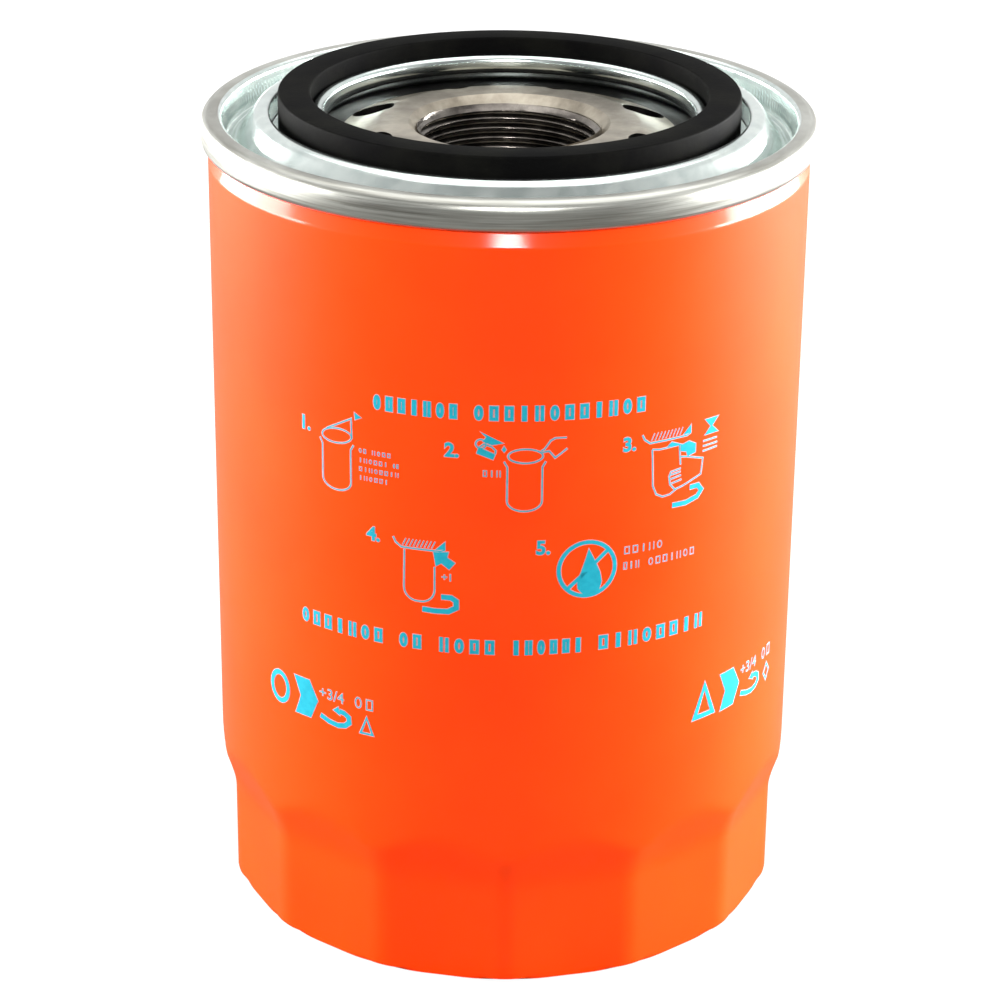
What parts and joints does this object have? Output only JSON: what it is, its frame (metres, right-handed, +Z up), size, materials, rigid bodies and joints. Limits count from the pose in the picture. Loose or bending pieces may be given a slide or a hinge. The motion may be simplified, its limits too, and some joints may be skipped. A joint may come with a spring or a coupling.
{
  "type": "oil filter",
  "caption": "Spin-on oil filter: a round steel can with wrench flats at its closed end, a rolled seam, a square-section gasket and a threaded base plate with inlet holes around it.",
  "frame": {"origin": "centre of the foot ring under the closed end", "axes": "+Z up the can's axis, from the closed end to the gasket; -Y is the printed front"},
  "size_m": [0.0952, 0.0952, 0.1325],
  "materials": {
    "orange_paint": "gloss orange baked enamel over drawn steel",
    "zinc_plate": "bright zinc plate with a pale blue passivate",
    "seam_compound": "cured seam sealant",
    "plate_steel": "bare pressed steel under a film of oil",
    "gasket_rubber": "moulded nitrile, satin",
    "valve_rubber": "moulded nitrile",
    "tinplate": "tinplate",
    "potting_resin": "cured plastisol",
    "filter_paper": "resin-treated paper",
    "nylon": "moulded nylon",
    "spring_steel": "oil-tempered wire"
  },
  "bodies": {
    "housing": {"can": "orange_paint", "seaming_lid": "zinc_plate", "seam_compound": "seam_compound", "base_plate": "plate_steel", "support_spring": "spring_steel"},
    "gasket_ring": {"gasket": "gasket_rubber"},
    "drain_flap": {"anti_drain_valve": "valve_rubber"},
    "element": {"top_end_cap": "tinplate", "element_grommet": "valve_rubber", "top_potting": "potting_resin", "pleated_media": "filter_paper", "media_clip": "tinplate", "centre_tube": "tinplate", "bottom_potting": "potting_resin", "bottom_end_cap": "tinplate", "bypass_cage": "tinplate", "bypass_spring": "spring_steel", "spring_locator": "tinplate"},
    "bypass_valve": {"bypass_poppet": "nylon", "bypass_seal": "valve_rubber"}
  },
  "joints": [
    {"name": "gasket_lift", "type": "slide", "parent": "housing", "child": "gasket_ring", "axis": [0, 0, 1], "range_m": [0, 0.012]},
    {"name": "drain_flap_open", "type": "slide", "parent": "housing", "child": "drain_flap", "axis": [0, 0, -1], "range_m": [0, 0.0012], "stiffness_N_per_m": 60, "springref_m": -0.002},
    {"name": "element_float", "type": "slide", "parent": "housing", "child": "element", "axis": [0, 0, -1], "range_m": [0, 0.002], "stiffness_N_per_m": 4000, "springref_m": -0.004, "deforming": ["support_spring"]},
    {"name": "bypass_lift", "type": "slide", "parent": "element", "child": "bypass_valve", "axis": [0, 0, 1], "range_m": [0, 0.003], "stiffness_N_per_m": 250, "springref_m": -0.004, "deforming": ["bypass_spring"]}
  ]
}
